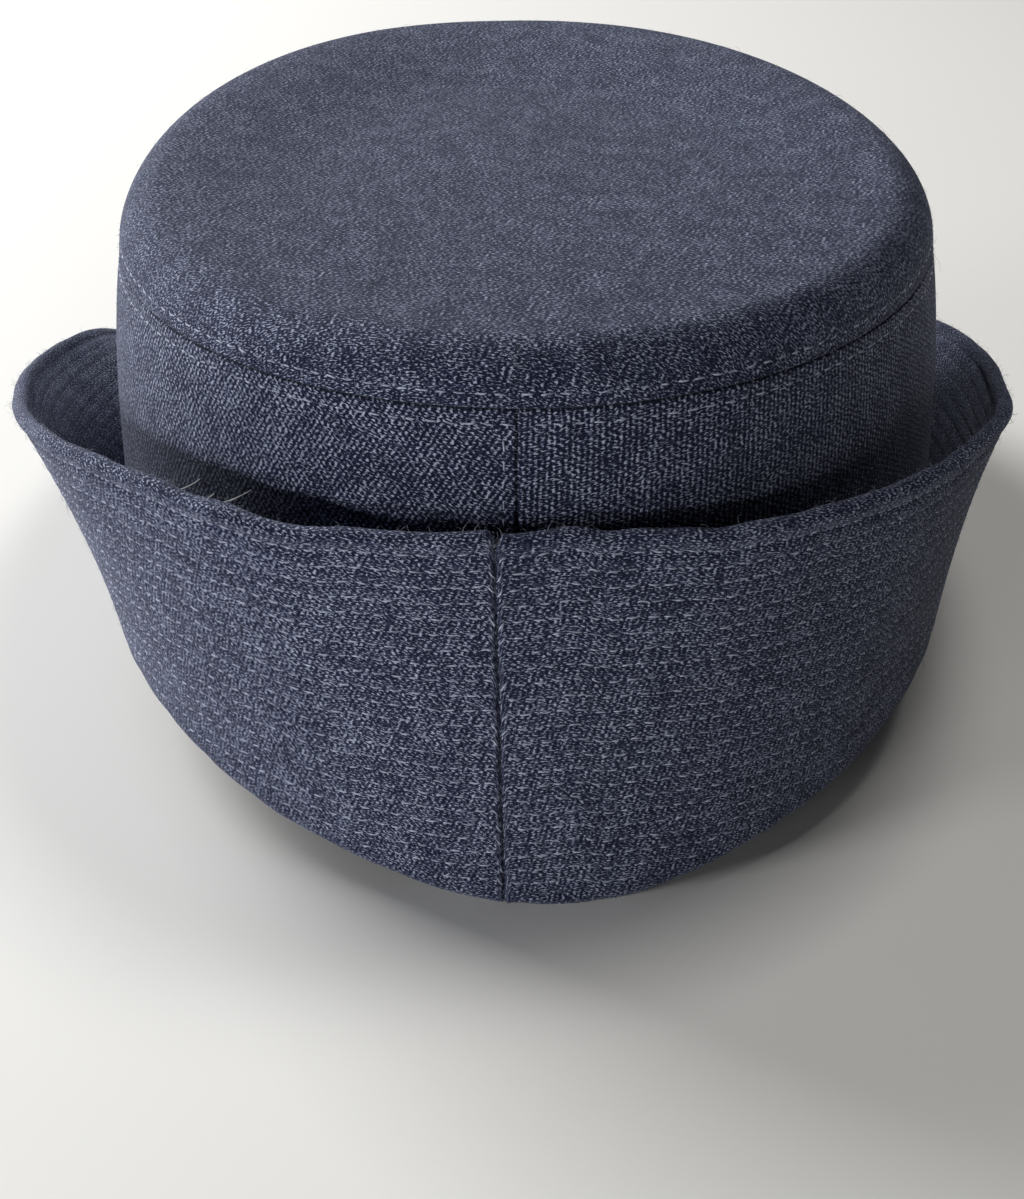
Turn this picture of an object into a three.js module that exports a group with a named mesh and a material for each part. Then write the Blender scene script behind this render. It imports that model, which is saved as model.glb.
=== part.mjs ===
// A cloth cap with an oval crown and one deep brim that is turned up behind and runs out as a peak in front.
// Millimetres, +Z up. The peak points along -Y and the back of the head is at +Y.
// The cap stands as it would on a table: on the fold at its back and on the front of the peak.
import * as THREE from "three";

// The crown is an oval, widest a little behind its middle. These sizes are at the seam under the top piece.
const SEAM_HALF_WIDTH = 77.7;
const SEAM_HALF_LENGTH = 96.4;
const WIDEST_BEHIND_MIDDLE = 6;
const SEAM_HEIGHT = 91.4;
const SEAM_GAP = 0.3;

// The side band spreads a little towards the head, most of it just under the seam.
const SIDE_SPREAD = 3.8;
const SIDE_FULLNESS = 4;
const SIDE_THICKNESS = 2;

// The top piece has a rounded shoulder, lower at the back than in front, and a shallow dish inside it.
const TOP_THICKNESS = 2;
const BACK_SHOULDER = { inset: 8.5, rise: 9.5 };
const FRONT_SHOULDER = { inset: 11, rise: 14.5 };
const FRONT_FROM = 40;
const FRONT_TO = 160;
const MIDDLE_RISE = 10.2;
const DISH_SHARE = 0.5;

// The brim is a stitched sandwich of cloth. It leaves the crown level, bends round the fold and goes on
// as a wall.
const BRIM_THICKNESS = 2.6;
const BRIM_GAP = 0.3;
const ROOT_RUN = 0.9;
const FOLD_RADIUS = 2.4;
const EDGE_ROUND = 0.8;

// The cap is a little uneven: on its +X side the brim is wider and leans out more, and the front of the shoulder
// is higher. The crown leans to -X.
const UNEVEN_WALL = 0.06;
const UNEVEN_LEAN = 1.2;
const UNEVEN_RISE = 1.8;
const CROWN_LEAN = 0.7;

// The brim's sections, from the middle of the back (0 degrees) to the middle of the peak (180 degrees).
// root: height of the brim where it leaves the crown. wall: width of cloth from the fold to the edge.
// fold_lean and edge_lean: slope of the wall at its two ends, 90 upright, 0 level and below 0 falling.
const BRIM_SECTIONS = [
  { degrees: 0, root: -0.8, wall: 72, fold_lean: 90, edge_lean: 88.5 },
  { degrees: 30, root: 7, wall: 63.5, fold_lean: 85, edge_lean: 82.5 },
  { degrees: 60, root: 15, wall: 52, fold_lean: 84.5, edge_lean: 75 },
  { degrees: 90, root: 16, wall: 40.5, fold_lean: 75.5, edge_lean: 60.5 },
  { degrees: 120, root: 17, wall: 37.5, fold_lean: 43.5, edge_lean: 28 },
  { degrees: 150, root: 18, wall: 50, fold_lean: -3, edge_lean: -14 },
  { degrees: 180, root: 19, wall: 53, fold_lean: -17, edge_lean: -27 },
];
const SECTION_STEP = 30;

// Fineness of the solids.
const STEPS_AROUND = 96;
const SHOULDER_STEPS = 6;
const DISH_STEPS = 4;
const SIDE_STEPS = 6;
const FOLD_STEPS = 4;
const WALL_STEPS = 6;

const CLOTH_NAVY = 0x474b5c;
const CLOTH_ROUGHNESS = 0.95;

const radians = THREE.MathUtils.degToRad;
const mix = THREE.MathUtils.lerp;

// A point of the crown's oval, grown outward by a distance, and the outward direction there.
// Degrees count from the middle of the back; scale shrinks the oval about its widest line.
function oval(degrees, outward, scale = 1) {
  const s = Math.sin(radians(degrees));
  const c = Math.cos(radians(degrees));
  const shift = c >= 0 ? -WIDEST_BEHIND_MIDDLE : WIDEST_BEHIND_MIDDLE;
  const across = (SEAM_HALF_WIDTH + outward) * scale;
  const along = (SEAM_HALF_LENGTH + shift + outward) * scale;
  const out = new THREE.Vector2(s * along, c * across).normalize();
  return { x: across * s, y: WIDEST_BEHIND_MIDDLE + along * c, out };
}

// A column of the brim's table at any angle, on a smooth curve through the rows, alike on both sides.
function brimColumn(column, degrees) {
  const turned = degrees > 180 ? 360 - degrees : degrees;
  const place = turned / SECTION_STEP;
  const last = BRIM_SECTIONS.length - 1;
  const row = Math.min(Math.floor(place), last - 1);
  const at = (i) => BRIM_SECTIONS[last - Math.abs(last - Math.abs(i))][column];
  const f = place - row;
  const [a, b, c, d] = [at(row - 1), at(row), at(row + 1), at(row + 2)];
  const linear = (c - a) * f;
  const square = (2 * a - 5 * b + 4 * c - d) * f * f;
  const cube = (3 * b - a - 3 * c + d) * f * f * f;
  return b + (linear + square + cube) / 2;
}

// A closed skin through rings of points. Rings that don't close on themselves end in a point at the middle.
function skin(rings, closed) {
  const around = rings[0].length;
  const points = rings.flat();
  const faces = [];
  const links = closed ? rings.length : rings.length - 1;
  for (let r = 0; r < links; r++) {
    const low = r * around;
    const high = ((r + 1) % rings.length) * around;
    for (let i = 0; i < around; i++) {
      const j = (i + 1) % around;
      faces.push(low + i, low + j, high + j, low + i, high + j, high + i);
    }
  }
  if (!closed) {
    const ends = [rings[0], rings[rings.length - 1]];
    ends.forEach((loop, end) => {
      const start = end === 0 ? 0 : (rings.length - 1) * around;
      const tip = loop.reduce((sum, p) => sum.add(p), new THREE.Vector3()).divideScalar(around);
      points.push(tip);
      for (let i = 0; i < around; i++) {
        const j = (i + 1) % around;
        const pair = end === 0 ? [start + j, start + i] : [start + i, start + j];
        faces.push(pair[0], pair[1], points.length - 1);
      }
    });
  }
  const geometry = new THREE.BufferGeometry().setFromPoints(points);
  geometry.setIndex(faces);
  geometry.computeVertexNormals();
  return geometry;
}

// One ring of points, made from a function of the angle. Angles run so that the skin faces outward.
function ring(pointAt) {
  const points = [];
  for (let i = 0; i < STEPS_AROUND; i++) {
    points.push(pointAt(360 - (360 * i) / STEPS_AROUND));
  }
  return points;
}

// A point of the crown, which leans a little more the higher it is.
function crownPoint(degrees, outward, height, scale = 1) {
  const p = oval(degrees, outward, scale);
  const lean = CROWN_LEAN * (height / SEAM_HEIGHT) ** 2;
  return new THREE.Vector3(p.x - lean, p.y, height);
}

// The shoulder's inset and rise at any angle, between their values at the back and in front.
function shoulder(degrees) {
  const turned = degrees > 180 ? 360 - degrees : degrees;
  const share = THREE.MathUtils.smoothstep(turned, FRONT_FROM, FRONT_TO);
  const uneven = UNEVEN_RISE * Math.max(Math.sin(radians(degrees)), 0) * share;
  return {
    inset: mix(BACK_SHOULDER.inset, FRONT_SHOULDER.inset, share),
    rise: mix(BACK_SHOULDER.rise, FRONT_SHOULDER.rise, share) + uneven,
  };
}

// A ring of the top piece's shoulder: its edge lies on the seam, and depth is how far inside the cloth it lies.
function shoulderRing(turn, depth) {
  return ring((degrees) => {
    const full = shoulder(degrees);
    const inset = depth + (full.inset - depth) * (1 - Math.cos(turn));
    const rise = (full.rise - depth) * Math.sin(turn);
    return crownPoint(degrees, -inset, SEAM_HEIGHT + SEAM_GAP / 2 + rise);
  });
}

function dishRing(scale, depth) {
  const sunk = THREE.MathUtils.smoothstep(1 - scale, 0, DISH_SHARE);
  return ring((degrees) => {
    const full = shoulder(degrees);
    const rise = mix(full.rise, MIDDLE_RISE, sunk) - depth;
    return crownPoint(degrees, -full.inset, SEAM_HEIGHT + SEAM_GAP / 2 + rise, scale);
  });
}

function crownTop() {
  const quarter = Math.PI / 2;
  const half = (depth) => {
    const rings = [];
    for (let i = 0; i <= SHOULDER_STEPS; i++) {
      rings.push(shoulderRing((quarter * i) / SHOULDER_STEPS, depth));
    }
    for (let i = 1; i < DISH_STEPS; i++) {
      rings.push(dishRing(1 - i / DISH_STEPS, depth));
    }
    return rings;
  };
  return skin([...half(TOP_THICKNESS).reverse(), ...half(0)], false);
}

// The side band: its foot lies level with the underside of the brim, its top just under the seam.
function crownSide() {
  const sideRing = (share, depth) =>
    ring((degrees) => {
      const foot = Math.max(brimColumn("root", degrees) - BRIM_THICKNESS / 2, 0);
      const height = mix(foot, SEAM_HEIGHT - SEAM_GAP / 2, share);
      return crownPoint(degrees, SIDE_SPREAD * (1 - share ** SIDE_FULLNESS) - depth, height);
    });
  const outside = [];
  const inside = [];
  for (let i = 0; i <= SIDE_STEPS; i++) {
    outside.push(sideRing(i / SIDE_STEPS, 0));
    inside.push(sideRing(1 - i / SIDE_STEPS, SIDE_THICKNESS));
  }
  return skin([...outside, ...inside], true);
}

// Cloth that would sink into the table is pressed flat on it: its middle stays half its thickness above.
function pressed(height, slope) {
  return Math.max(height, (BRIM_THICKNESS / 2) * Math.cos(slope));
}

// The middle line of the brim's cloth at one angle: distance from the crown, height and slope at each step.
function brimLine(degrees) {
  const side = Math.sin(radians(degrees));
  const wall = brimColumn("wall", degrees) * (1 + UNEVEN_WALL * side);
  const foldLean = radians(brimColumn("fold_lean", degrees) - UNEVEN_LEAN * side);
  const edgeLean = radians(brimColumn("edge_lean", degrees) - UNEVEN_LEAN * side);
  let out = BRIM_GAP;
  let height = brimColumn("root", degrees);
  const line = [{ out, height: pressed(height, 0), slope: 0 }];
  const go = (length, slope, endSlope) => {
    out += length * Math.cos(slope);
    height += length * Math.sin(slope);
    line.push({ out, height: pressed(height, endSlope), slope: endSlope });
  };
  go(ROOT_RUN, 0, 0);
  for (let i = 0; i < FOLD_STEPS; i++) {
    const length = (FOLD_RADIUS * Math.abs(foldLean)) / FOLD_STEPS;
    go(length, (foldLean * (i + 0.5)) / FOLD_STEPS, (foldLean * (i + 1)) / FOLD_STEPS);
  }
  for (let i = 0; i < WALL_STEPS; i++) {
    const middle = mix(foldLean, edgeLean, (i + 0.5) / WALL_STEPS);
    go(wall / WALL_STEPS, middle, mix(foldLean, edgeLean, (i + 1) / WALL_STEPS));
  }
  return line;
}

// The brim's rings: along its outer face, round its edge and back along its inner face.
function brim() {
  const lines = new Map();
  const lineAt = (degrees) => {
    if (!lines.has(degrees)) lines.set(degrees, brimLine(degrees));
    return lines.get(degrees);
  };
  const faceRing = (step, aside, beyond) =>
    ring((degrees) => {
      const p = oval(degrees, SIDE_SPREAD);
      const { out, height, slope } = lineAt(degrees)[step];
      const d = out + Math.sin(slope) * aside + Math.cos(slope) * beyond;
      const z = height - Math.cos(slope) * aside + Math.sin(slope) * beyond;
      return new THREE.Vector3(p.x + p.out.x * d, p.y + p.out.y * d, Math.max(z, 0));
    });
  const steps = 1 + FOLD_STEPS + WALL_STEPS;
  const outside = [];
  const inside = [];
  for (let i = 0; i <= steps; i++) {
    outside.push(faceRing(i, BRIM_THICKNESS / 2, 0));
    inside.push(faceRing(steps - i, -BRIM_THICKNESS / 2, 0));
  }
  return skin([...outside, faceRing(steps, 0, EDGE_ROUND), ...inside], true);
}

function piece(name, geometry) {
  const cloth = new THREE.MeshStandardMaterial({
    color: CLOTH_NAVY,
    roughness: CLOTH_ROUGHNESS,
    metalness: 0,
  });
  const mesh = new THREE.Mesh(geometry, cloth);
  mesh.name = name;
  return mesh;
}

const cap = new THREE.Group();
cap.add(piece("crown_top", crownTop()));
cap.add(piece("crown_side", crownSide()));
cap.add(piece("brim", brim()));

// The origin is on the table, under the middle of the cap.
const box = new THREE.Box3().setFromObject(cap);
const middle = box.getCenter(new THREE.Vector3());
cap.position.set(-middle.x, -middle.y, -box.min.z);

export default cap;
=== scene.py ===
# %% [markdown]
# A cloth cap with a turned-up brim, sewn from three cuts of heathered navy wool: an oval top piece, a
# side band and one deep stitched brim, which runs out as a peak in front. This lesson dresses the solids
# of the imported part: each cut is a fine mesh in its solid's own place, sewn with real stitches, and with
# a woven finish made of shader nodes.

# %% Load the frame
import math

import bmesh
import bpy
import numpy as np
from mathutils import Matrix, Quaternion, Vector


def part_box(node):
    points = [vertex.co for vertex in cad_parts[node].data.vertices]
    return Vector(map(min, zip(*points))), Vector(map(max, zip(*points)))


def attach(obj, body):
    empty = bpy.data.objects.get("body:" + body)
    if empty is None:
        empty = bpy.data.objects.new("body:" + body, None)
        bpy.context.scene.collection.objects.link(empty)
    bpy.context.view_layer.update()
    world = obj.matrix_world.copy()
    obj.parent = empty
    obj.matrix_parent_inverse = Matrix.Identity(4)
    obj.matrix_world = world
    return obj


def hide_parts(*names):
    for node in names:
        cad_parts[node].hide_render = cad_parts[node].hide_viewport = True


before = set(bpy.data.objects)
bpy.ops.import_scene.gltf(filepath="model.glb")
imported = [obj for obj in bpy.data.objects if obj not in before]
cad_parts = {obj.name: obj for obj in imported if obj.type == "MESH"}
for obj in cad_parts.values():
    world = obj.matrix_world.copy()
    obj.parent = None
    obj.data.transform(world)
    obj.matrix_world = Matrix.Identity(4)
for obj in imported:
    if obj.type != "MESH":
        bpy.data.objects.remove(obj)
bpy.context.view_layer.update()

MM = 0.001
scene = bpy.context.scene


def add(name, data):
    """A new object in the scene."""
    made = bpy.data.objects.new(name, data)
    scene.collection.objects.link(made)
    return made


# %% [markdown]
# Sizes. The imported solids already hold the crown's main sizes, so they are read from their boxes and not
# written again. Lengths in this lesson are millimetres about the middle of the crown, and `to_frame` turns
# them into metres in the part's frame as the very last step.

# %% Read the crown's sizes from the solids
top_low, top_high = (np.array(corner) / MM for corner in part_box("crown_top"))
side_low, side_high = (np.array(corner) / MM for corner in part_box("crown_side"))
crown_middle = np.append((side_low + side_high)[:2] / 2, 0.0)
seam_half_width, seam_half_length = (top_high - top_low)[:2] / 2
side_spread = (side_high - side_low)[1] / 2 - seam_half_length
seam_height = (top_low[2] + side_high[2]) / 2


def to_frame(points):
    """Points in millimetres about the crown's middle, as metres in the part's frame."""
    return (np.asarray(points) + crown_middle) * MM


print(f"crown {2 * seam_half_width:.1f} by {2 * seam_half_length:.1f} mm, seam at {seam_height:.1f} mm")

# %% [markdown]
# The camera. It stands behind the cap, close and a little above it, so nearer parts look clearly larger.
# Its place and focal length came from fitting the outlines of the crown and the brim. Aiming it from one
# point at another is easier to read than Euler angles, and the roll is a turn about its viewing axis.

# %% Set the camera behind the cap
PHOTO_HEIGHT = 1199
FOCAL_PIXELS = 1900
SENSOR = 36.0
EYE = (21.4, 363.2, 216.2)
TARGET = (2.7, 0.0, 0.3)
ROLL_DEGREES = -1.13
NEAREST_SEEN = 0.01

camera = add("camera", bpy.data.cameras.new("camera"))
camera.data.sensor_width = SENSOR
# The sensor's width lies along the longer side of the picture, here its height.
camera.data.lens = FOCAL_PIXELS * SENSOR / PHOTO_HEIGHT
camera.data.clip_start = NEAREST_SEEN
eye, target = (Vector(to_frame(point)) for point in (EYE, TARGET))
aim = (target - eye).to_track_quat("-Z", "Y")
camera.rotation_mode = "QUATERNION"
camera.rotation_quaternion = aim @ Quaternion((0, 0, 1), math.radians(ROLL_DEGREES))
camera.location = eye
scene.camera = camera
print(f"lens {camera.data.lens:.1f} mm, eye {[round(v, 3) for v in eye]}")

# %% [markdown]
# The floor, and helpers for nodes. The floor is a plain pale disc: nothing but the cap should draw the
# eye, and a round rim is equally far off on every side. Its material is a tree of nodes. Building trees
# in Python takes many short lines, so three helpers take that up for the whole lesson.

# %% Lay a pale floor
FLOOR_RADIUS, FLOOR_CORNERS = 1.1, 120
FLOOR_COLOUR, FLOOR_ROUGHNESS = (0.88, 0.865, 0.83, 1), 0.6


def plug(tree, made, **inputs):
    """Plugs values or other nodes' sockets into a node's inputs, by name or by number, as in _0."""
    for key, value in inputs.items():
        place = made.inputs[int(key[1:])] if key[0] == "_" else made.inputs[key.replace("_", " ")]
        if isinstance(value, bpy.types.NodeSocket):
            tree.links.new(value, place)
        else:
            place.default_value = value


def node(tree, kind, settings=None, **inputs):
    """A new node of a tree, with its settings and its inputs."""
    made = tree.nodes.new(kind)
    for key, value in (settings or {}).items():
        setattr(made, key, value)
    plug(tree, made, **inputs)
    return made


def new_material(name):
    """A new material, its node tree and its main shader."""
    material = bpy.data.materials.new(name)
    material.use_nodes = True
    return material, material.node_tree, material.node_tree.nodes["Principled BSDF"]


pale_floor, floor_tree, floor_shader = new_material("pale floor")
plug(floor_tree, floor_shader, Base_Color=FLOOR_COLOUR, Roughness=FLOOR_ROUGHNESS)
corners = np.arange(FLOOR_CORNERS) * math.tau / FLOOR_CORNERS
rim = FLOOR_RADIUS * np.stack([np.cos(corners), np.sin(corners), 0 * corners], -1)
floor_mesh = bpy.data.meshes.new("floor")
floor_mesh.from_pydata(rim.tolist(), [], [list(range(FLOOR_CORNERS))])
floor_mesh.materials.append(pale_floor)
floor = add("floor", floor_mesh)
print("floor", 2 * FLOOR_RADIUS, "m across")

# %% [markdown]
# Light. A large soft light beyond the cap at the left stands for a window: it brightens the top and
# rounds the crown. Two low ones light the band and the brim. They are wide but not tall, so the brim's
# lip throws a crisp dark shadow on the band behind it. A dim one overhead keeps the right side from
# going black. They are area lights, because size and shape then set how soft a shadow is.

# %% Hang the lights
COOL, WARM = (0.98, 0.99, 1.0), (1.0, 0.99, 0.97)
LIGHTS = [
    ("window", (0.97, -0.93, 0.80), (0.8, 0.8), 28.5, COOL),
    ("low window", (1.22, 0.58, 0.27), (0.4, 0.08), 7.8, COOL),
    ("room", (0.82, 1.12, 0.18), (0.5, 0.08), 5.0, COOL),
    ("overhead", (-0.35, -0.20, 1.35), (0.5, 0.5), 5.8, WARM),
]
MIDDLE_OF_CAP = Vector((0, 0, 0.05))

# The Standard view shows colours as they were mixed.
scene.view_settings.view_transform = "Standard"
for name, place, size, power, colour in LIGHTS:
    lamp = bpy.data.lights.new(name, "AREA")
    lamp.shape = "RECTANGLE"
    lamp.size, lamp.size_y = size
    lamp.energy, lamp.color = power, colour
    light = add(name, lamp)
    light.location = place
    light.rotation_euler = (MIDDLE_OF_CAP - light.location).to_track_quat("-Z", "Y").to_euler()

# %% [markdown]
# The backdrop. From low sides the view goes past the floor's rim and should meet a pale backdrop, but a
# bright one would also light the cap and wash out its shadows. The Light Path node tells the camera's
# rays from those that carry light, so the camera sees a pale backdrop and the cap gets a faint sky.

# %% Set the backdrop
SKY_COLOUR, SKY_STRENGTH = (0.80, 0.85, 1.0, 1), 0.01
BACKDROP_COLOUR = (0.56, 0.55, 0.53, 1)

world = bpy.data.worlds.new("backdrop")
world.use_nodes = True
sky = world.node_tree
faint = sky.nodes["Background"]
plug(sky, faint, Color=SKY_COLOUR, Strength=SKY_STRENGTH)
backdrop = node(sky, "ShaderNodeBackground", None, Color=BACKDROP_COLOUR)
ray = node(sky, "ShaderNodeLightPath")
either = node(sky, "ShaderNodeMixShader", None, _0=ray.outputs["Is Camera Ray"],
              _1=faint.outputs[0], _2=backdrop.outputs[0])
plug(sky, sky.nodes["World Output"], Surface=either.outputs[0])
scene.world = world
print("backdrop made of", len(sky.nodes), "nodes")

# %% [markdown]
# Cloth as rings. Each cut of cloth is a closed thin wall, so it is drawn as rings of points round the
# cap: along the outer face, over the edge and back along the inner face. A Solidify modifier could
# thicken a single surface, but then furrows and rolled edges would be alike on both faces. One helper
# turns rings into a mesh. Its UV map "cloth" holds each point's place on the flat cut in millimetres,
# because the weave follows the cloth and not the room. A float attribute holds painted shade: how much
# the colour in a seam's valley is darkened to stand for its shadow.

# %% Turn rings of points into a cloth mesh
def ring_pairs(ring, around):
    """The numbers of a ring's points, and of the points after them."""
    here = np.arange(around)
    return ring * around + here, ring * around + (here + 1) % around


def strip_faces(low, high, around):
    """Four-sided faces between two rings."""
    return np.stack([*ring_pairs(low, around), *ring_pairs(high, around)[::-1]], -1)


def fan_faces(ring, around, tip, way):
    """Three-sided faces from a ring to one point. way is -1 at a first ring and 1 at a last one."""
    return np.stack([*ring_pairs(ring, around)[::way], np.full(around, tip)], -1)


def new_piece(name, points, faces, material):
    """A smooth mesh object, from points in millimetres, with none of them below the floor."""
    mesh = bpy.data.meshes.new(name)
    points = np.maximum(points.reshape(-1, 3), (-np.inf, -np.inf, 0))
    mesh.from_pydata(to_frame(points).tolist(), [], faces)
    mesh.shade_smooth()
    mesh.materials.append(material)
    return add(name, mesh)


def cloth_piece(name, material, rings, flat, crease, poles=None):
    """A closed mesh through rings of points. flat holds cloth coordinates, with one column more than a
    ring, because a flat cut has two ends. The argument after flat is painted shade: how much each point's
    colour is darkened to stand for the shadow in a seam. poles close both ends."""
    count, around = rings.shape[:2]
    points = rings.reshape(-1, 3)
    crease = np.broadcast_to(crease, (count, around)).ravel()
    faces, uvs = [], []
    for low in range(count if poles is None else count - 1):
        high = (low + 1) % count
        faces += strip_faces(low, high, around).tolist()
        uvs.append(np.stack([flat[low, :-1], flat[low, 1:], flat[high, 1:], flat[high, :-1]], 1))
    uvs = [np.concatenate(uvs).reshape(-1, 2)]
    if poles is not None:
        points = np.concatenate([points, poles])
        crease = np.append(crease, [0, 0])
        for ring, tip, way in ((0, count * around, -1), (count - 1, count * around + 1, 1)):
            faces += fan_faces(ring, around, tip, way).tolist()
            middle = np.repeat(flat[ring, :-1].mean(0)[None], around, 0)
            ends = (flat[ring, :-1], flat[ring, 1:])[::way]
            uvs.append(np.stack([*ends, middle], 1).reshape(-1, 2))
    piece = new_piece(name, points, faces, material)
    mesh = piece.data
    uvs = np.concatenate(uvs).astype(np.float32)
    mesh.uv_layers.new(name="cloth").uv.foreach_set("vector", uvs.ravel())
    # The attribute holds painted shade: darkening that stands for the shadow in a seam's valley.
    mesh.attributes.new("crease", "FLOAT", "POINT").data.foreach_set("value", crease.astype(np.float32))
    work = bmesh.new()
    work.from_mesh(mesh)
    bmesh.ops.recalc_face_normals(work, faces=work.faces)
    work.to_mesh(mesh)
    work.free()
    print(name, "has", len(mesh.polygons), "faces")
    return piece


# %% [markdown]
# The oval. Seen from above the crown is an egg, widest a little behind its middle. Two half ellipses
# that share their widest line make it, with fewer numbers than a drawn curve would need. Angles count
# from the middle of the back. Columns of points stand evenly round it, with a few more beside a seam,
# where the cloth dips sharply.

# %% Draw the crown's oval
WIDEST_BEHIND_MIDDLE = 6.0
CROWN_LEAN = 0.7
BESIDE_SEAM = np.array([0.1, 0.22, 0.36, 0.55, 0.8, 1.1, 1.5, 2.0])
TINY = 1e-12


def unit(vectors):
    """Vectors of length one in the same directions."""
    return vectors / np.maximum(np.linalg.norm(vectors, axis=-1, keepdims=True), TINY)


def oval(degrees, outward=0.0, scale=1.0):
    """Points of the oval, grown outward by a distance, and the outward directions there."""
    s, c = np.sin(np.radians(degrees)), np.cos(np.radians(degrees))
    across = (seam_half_width + outward) * scale
    along = (seam_half_length + outward + np.where(c >= 0, -1, 1) * WIDEST_BEHIND_MIDDLE) * scale
    points = np.stack([across * s, WIDEST_BEHIND_MIDDLE + along * c, 0 * s], -1)
    return points, unit(np.stack([s * along, c * across, 0 * s], -1))


def crown_point(degrees, outward, height, scale=1.0):
    """Points of the crown, which leans a little more the higher it is."""
    points = oval(degrees, outward, scale)[0]
    points[..., 0] -= CROWN_LEAN * (height / seam_height) ** 2
    points[..., 2] += height
    return points


def columns(seam, count):
    """Angles all the way round, starting at a seam and closer together beside it."""
    even = np.linspace(0, 360, count, endpoint=False)
    even = even[(even > BESIDE_SEAM[-1]) & (even < 360 - BESIDE_SEAM[-1])]
    return seam + np.concatenate([[0.0], BESIDE_SEAM, even, 360 - BESIDE_SEAM[::-1]])


print("oval widths", [float(np.round(2 * oval(90.0, grow)[0][0], 1)) for grow in (0.0, side_spread)])

# %% [markdown]
# Seams. Where two edges are sewn together the cloth dips into a narrow valley. A bump in the material
# would look flat from the side, so the valley is modelled. Its shadow is also painted into the colour:
# how deep in a seam each point lies is written down as painted shade, which darkens the finish there. A
# seam opens and closes between its stitches, so the painted shade is uneven along it. One random
# generator with a fixed seed makes every run alike.

# %% Describe a seam
SEAM_WIDTH, SEAM_DEPTH = 0.24, 0.5
ROLL_SIZE, ROLL_PLACE, ROLL_WIDTH = 0.2, 3, 1.2
LEAST_DARK, DARK_SPREAD = 0.45, 0.275
chance = np.random.default_rng(7)


def lengths_along(points):
    """Distance along a line of points, from the first one to each."""
    return np.concatenate([[0.0], np.cumsum(np.linalg.norm(np.diff(points, axis=0), axis=1))])


def lengths_round(ring):
    """The same round a closed ring, and back to its first point."""
    return lengths_along(np.concatenate([ring, ring[:1]]))


def seam_distance(along):
    """Each column's distance from a seam at the first one, the shorter way round."""
    return np.minimum(along[:-1], along[-1] - along[:-1])


def in_seam(distance):
    """How deep in a seam cloth lies at each distance from it, from 0 to 1."""
    return np.exp(-(distance / SEAM_WIDTH) ** 2)


def seam_dip(distance):
    """How far cloth sinks into a seam, with a slight roll on both sides."""
    roll = np.exp(-((np.abs(distance) / SEAM_WIDTH - ROLL_PLACE) / ROLL_WIDTH) ** 2)
    return SEAM_DEPTH * (in_seam(distance) - ROLL_SIZE * roll)


def uneven_painted_shade(count):
    """How strongly painted shade darkens a seam at each of many places along it."""
    rough = chance.uniform(0, 1, count)
    return LEAST_DARK + DARK_SPREAD * (rough + np.roll(rough, 1))


print("a seam dips by", [float(seam_dip(d).round(2)) for d in (0.0, 0.2, 0.7)], "mm beside its middle")

# %% [markdown]
# Node groups. An effect that several materials share is best built once, as a node group with named
# sockets. A few helpers for its sockets and its arithmetic come first.

# %% Make helpers for node groups
def socket(tree, name, kind, way, value=None):
    """Adds one named socket to a node group. way is INPUT or OUTPUT."""
    made = tree.interface.new_socket(name=name, in_out=way, socket_type=kind)
    if value is not None:
        made.default_value = value


def calc(tree, operation, *values):
    """The result of one step of arithmetic."""
    inputs = {f"_{i}": value for i, value in enumerate(values)}
    return node(tree, "ShaderNodeMath", {"operation": operation}, **inputs).outputs[0]


def span(tree, value, low, high, to_low=0.0, to_high=1.0):
    """A value stretched smoothly from one span to another."""
    return node(tree, "ShaderNodeMapRange", {"interpolation_type": "SMOOTHSTEP"}, Value=value,
                _1=low, _2=high, _3=to_low, _4=to_high).outputs[0]


def lifted(tree, value, noise, amount):
    """A value lifted or lowered by a noise, by up to half an amount."""
    return calc(tree, "MULTIPLY_ADD", calc(tree, "SUBTRACT", noise, 0.5), amount, value)


def noise_2d(tree, vector, scale, detail=2.0):
    """Plane noise, scale in waves per millimetre."""
    return node(tree, "ShaderNodeTexNoise", {"noise_dimensions": "2D"}, Vector=vector, Scale=scale,
                Detail=detail)


def vector_math(tree, operation, one, **others):
    """One step of arithmetic with a vector."""
    return node(tree, "ShaderNodeVectorMath", {"operation": operation}, _0=one, **others)


# %% [markdown]
# The weave. Close up, the cloth is a field of small pale floats of yarn with dark gaps between them. They
# lie on a skewed lattice about one millimetre apart, which is what two crossing waves make. A picture
# wrapped round the cap would blur close up, so a node group works it out from the flat coordinates. Fine
# streaks stand for fibres, and random floats and soft patches keep it from looking ruled. The group puts
# out the height of the yarn, which colour and relief then share.

# %% Build the weave as a node group
WAVE_DEGREES = (163, 50)
SECOND_WAVE = 0.65
WEAVE_INPUTS = {"Repeat": 0.91, "Wander": 0.6, "Ribs": 1.0, "Fuzz": 12.0}
SWAY_SCALE, SWAY_DETAIL, PATCH_SCALE = 0.7, 3.0, 0.16
FIBRE_DEGREES, FIBRE_SIZE = -6, (0.66, 0.25, 1.0)
FLOAT_LIFT, PATCH_LIFT = 0.7, 1.5
LOWEST, HIGHEST = -1.15, 2.8

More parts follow.
